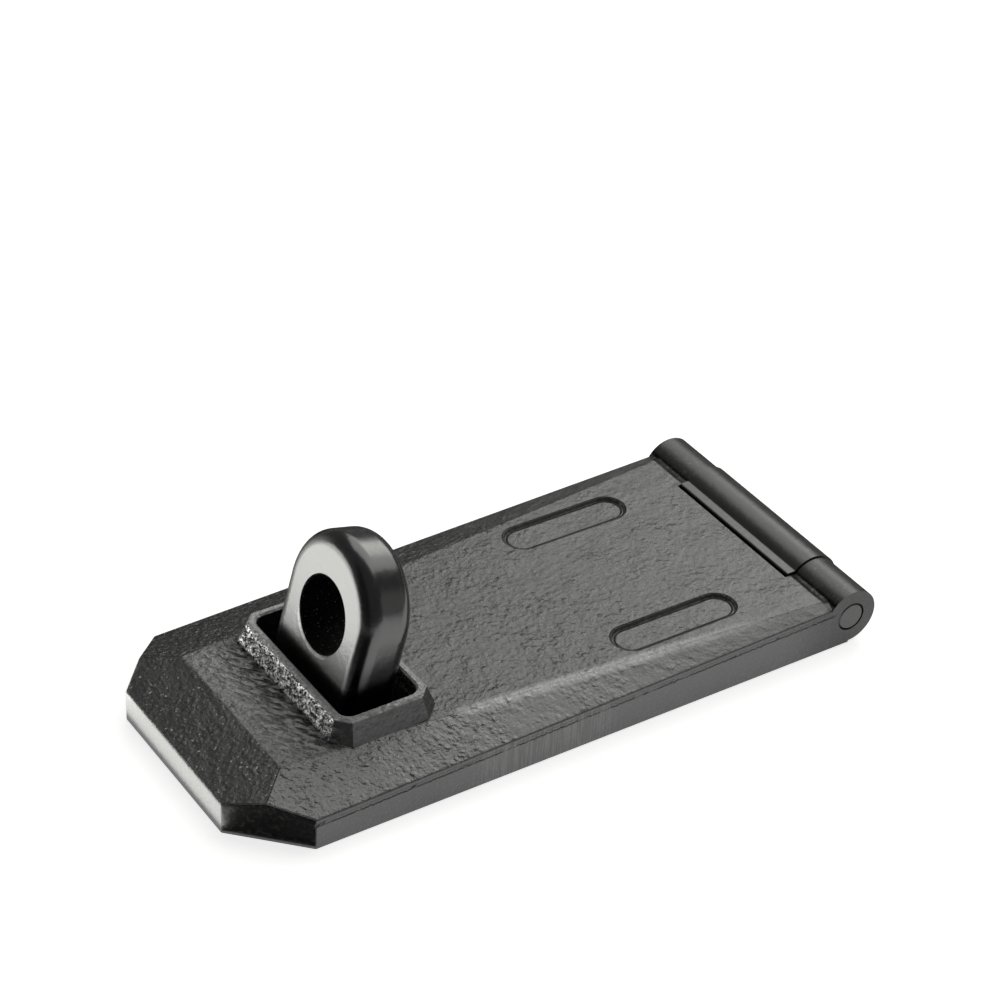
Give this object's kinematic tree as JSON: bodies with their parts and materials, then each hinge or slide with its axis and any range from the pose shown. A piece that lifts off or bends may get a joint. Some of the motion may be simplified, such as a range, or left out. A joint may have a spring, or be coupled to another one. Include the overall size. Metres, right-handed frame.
{
  "type": "padlock hasp",
  "caption": "Heavy cast hinged hasp: a bevelled cover with a collared slot swings over a fixed, leaning staple eye for a padlock shackle and hides the screw plates beneath.",
  "frame": {"origin": "centre of the overall plan, on the mounting surface", "axes": "+X from the free end of the cover to the hinge, +Z away from the mounting surface"},
  "size_m": [0.18, 0.08, 0.0511],
  "materials": {
    "cast_cover": "semi-gloss black coating over a pebbly casting",
    "cast_plate": "semi-gloss black coating",
    "staple_steel": "smooth glossy black coating over forged steel",
    "pin_steel": "satin black coating over turned steel"
  },
  "bodies": {
    "base": {"hinge_plate": "cast_plate", "staple_plate": "cast_plate", "staple": "staple_steel"},
    "cover": {"cover_leaf": "cast_cover", "hinge_pin": "pin_steel"}
  },
  "joints": [
    {"name": "cover_hinge", "type": "hinge", "parent": "base", "child": "cover", "pos_m": [0.082, 0, 0.008], "axis": [0, 1, 0], "range_deg": [0, 178]}
  ]
}
